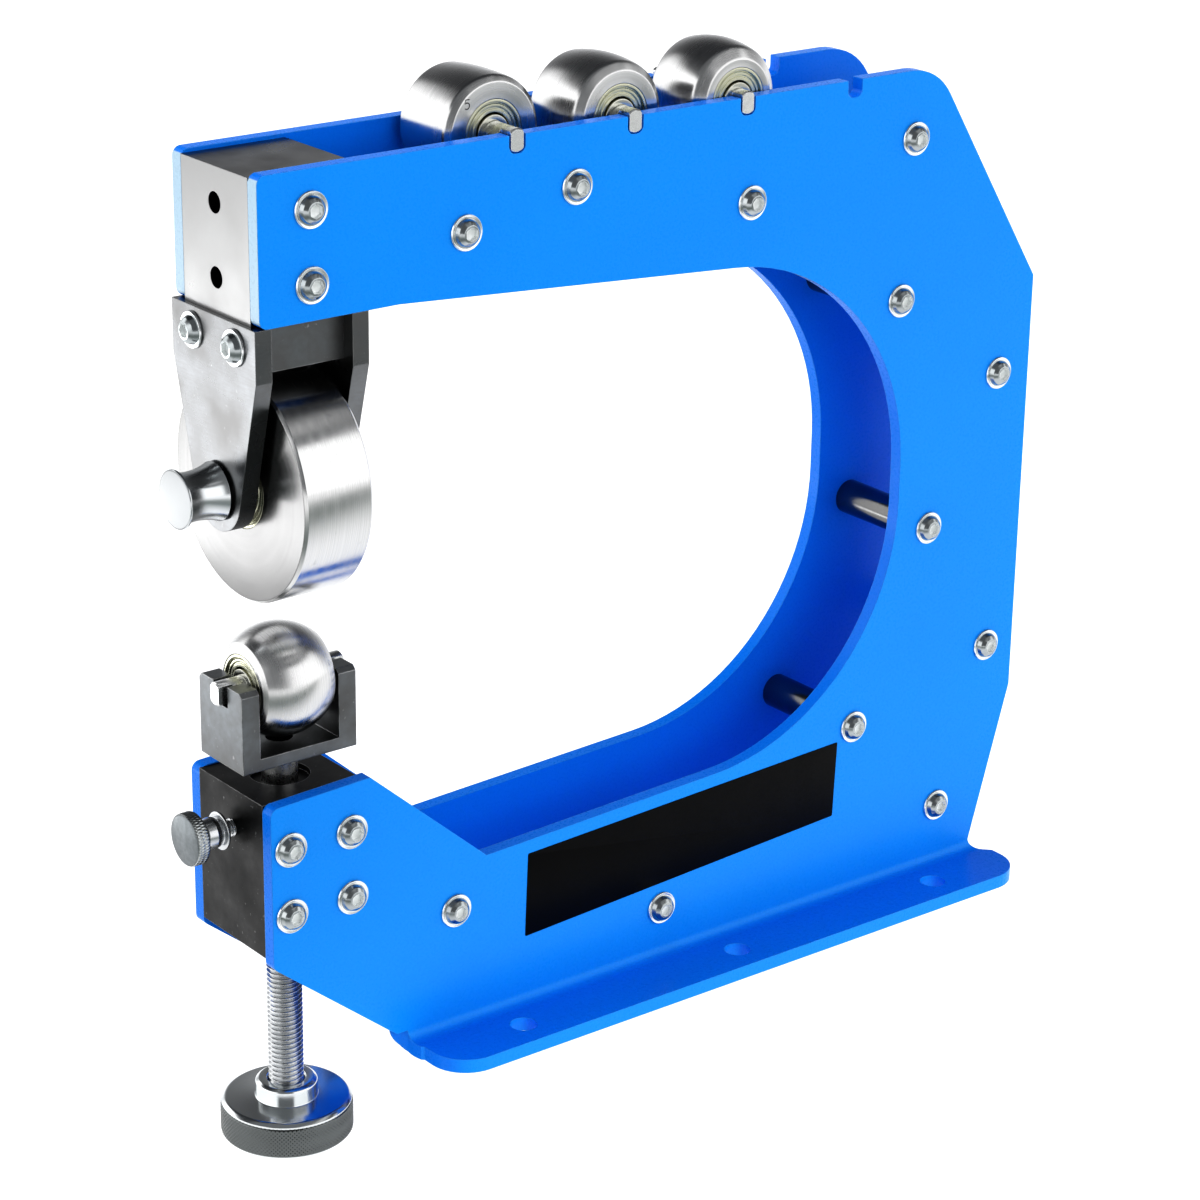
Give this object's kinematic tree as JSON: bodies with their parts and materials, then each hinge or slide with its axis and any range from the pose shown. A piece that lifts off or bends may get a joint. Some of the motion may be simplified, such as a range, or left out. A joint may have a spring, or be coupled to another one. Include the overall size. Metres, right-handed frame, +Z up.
{
  "type": "benchtop english wheel",
  "caption": "Benchtop english wheel: a C-frame of two bent plates, a flat upper wheel on a pull pin, a crowned anvil on a screw-raised yoke, and spare anvils racked on top.",
  "frame": {"origin": "middle of the bench bolt holes, on the underside of the bench flanges", "axes": "+Z up, the noses with the wheels point along -X, the labelled front plate faces -Y"},
  "size_m": [0.348, 0.098, 0.357],
  "materials": {
    "blue_paint": "powder coat with a light orange peel, bare edges a little lighter",
    "black_oxide": "black oxide, satin, machined faces",
    "yoke_steel": "dark satin with bright worn edges",
    "polished_steel": "polished",
    "axle_steel": "ground, bright ends",
    "bearing_steel": "pressed shields, faint yellow zinc, fine rings",
    "zinc_steel": "bright zinc",
    "thread_steel": "bright zinc, threaded",
    "chrome": "turned and polished, knurled rims",
    "brass": "plain turned"
  },
  "bodies": {
    "frame": {"side_plate_front": "blue_paint", "side_plate_back": "blue_paint", "upper_nose_block": "black_oxide", "lower_nose_block": "black_oxide", "frame_spacers": "black_oxide", "plate_screws_front": "zinc_steel", "plate_screws_back": "zinc_steel", "upper_yoke_block": "black_oxide", "yoke_cheek_front": "black_oxide", "yoke_cheek_rear": "black_oxide", "cheek_screws": "zinc_steel", "yoke_mount_screws": "black_oxide", "wheel_bearing_inner_rings": "bearing_steel", "wheel_washers": "zinc_steel"},
    "upper_wheel": {"upper_wheel": "polished_steel", "wheel_bearing_outer_rings": "bearing_steel"},
    "pull_pin": {"wheel_pin": "axle_steel", "pull_knob": "chrome"},
    "anvil_yoke": {"lower_yoke": "yoke_steel", "yoke_stem": "axle_steel", "working_axle": "axle_steel", "working_bearing_inner_rings": "bearing_steel"},
    "working_anvil": {"working_anvil": "polished_steel", "working_bearing_outer_rings": "bearing_steel"},
    "adjuster": {"adjusting_screw": "thread_steel", "hand_knob": "chrome", "knob_set_screw": "black_oxide"},
    "lock_pad": {"lock_pad": "brass"},
    "lock_screw": {"lock_thumbscrew": "chrome"},
    "spare_a_axle": {"spare_a_axle": "axle_steel", "spare_a_bearing_inner_rings": "bearing_steel"},
    "spare_a_anvil": {"spare_a_anvil": "polished_steel", "spare_a_bearing_outer_rings": "bearing_steel"},
    "spare_b_axle": {"spare_b_axle": "axle_steel", "spare_b_bearing_inner_rings": "bearing_steel"},
    "spare_b_anvil": {"spare_b_anvil": "polished_steel", "spare_b_bearing_outer_rings": "bearing_steel"},
    "spare_c_axle": {"spare_c_axle": "axle_steel", "spare_c_bearing_inner_rings": "bearing_steel"},
    "spare_c_anvil": {"spare_c_anvil": "polished_steel", "spare_c_bearing_outer_rings": "bearing_steel"}
  },
  "joints": [
    {"name": "wheel_spin", "type": "hinge", "parent": "frame", "child": "upper_wheel", "pos_m": [-0.16795, 0, 0.2064], "axis": [1, 0, 0], "continuous": true},
    {"name": "pin_pull", "type": "slide", "parent": "frame", "child": "pull_pin", "axis": [-1, 0, 0], "range_m": [0, 0.05]},
    {"name": "yoke_lift", "type": "slide", "parent": "frame", "child": "anvil_yoke", "axis": [0, 0, 1], "range_m": [-0.0083, 0.0106]},
    {"name": "anvil_spin", "type": "hinge", "parent": "anvil_yoke", "child": "working_anvil", "pos_m": [-0.16795, 0, 0.138], "axis": [1, 0, 0], "continuous": true},
    {"name": "screw_turn", "type": "hinge", "parent": "anvil_yoke", "child": "adjuster", "pos_m": [-0.16795, 0, 0], "axis": [0, 0, 1], "range_deg": [-1700, 2170]},
    {"name": "lock_travel", "type": "slide", "parent": "frame", "child": "lock_pad", "axis": [-1, 0, 0], "range_m": [0, 0.0033]},
    {"name": "lock_turn", "type": "hinge", "parent": "lock_pad", "child": "lock_screw", "pos_m": [-0.2, 0, 0.09], "axis": [-1, 0, 0], "range_deg": [0, 1080]},
    {"name": "spare_a_lift", "type": "slide", "parent": "frame", "child": "spare_a_axle", "axis": [0, 0, 1], "range_m": [0, 0.03]},
    {"name": "spare_a_spin", "type": "hinge", "parent": "spare_a_axle", "child": "spare_a_anvil", "pos_m": [-0.0901, 0, 0.30955], "axis": [0, 1, 0], "continuous": true},
    {"name": "spare_b_lift", "type": "slide", "parent": "frame", "child": "spare_b_axle", "axis": [0, 0, 1], "range_m": [0, 0.03]},
    {"name": "spare_b_spin", "type": "hinge", "parent": "spare_b_axle", "child": "spare_b_anvil", "pos_m": [-0.0426, 0, 0.30955], "axis": [0, 1, 0], "continuous": true},
    {"name": "spare_c_lift", "type": "slide", "parent": "frame", "child": "spare_c_axle", "axis": [0, 0, 1], "range_m": [0, 0.03]},
    {"name": "spare_c_spin", "type": "hinge", "parent": "spare_c_axle", "child": "spare_c_anvil", "pos_m": [0.0049, 0, 0.30955], "axis": [0, 1, 0], "continuous": true}
  ],
  "couplings": [
    {"joint": "yoke_lift", "follows": "screw_turn", "m_per_rad": 0.00027852},
    {"joint": "lock_travel", "follows": "lock_turn", "m_per_rad": 0.00015915}
  ]
}
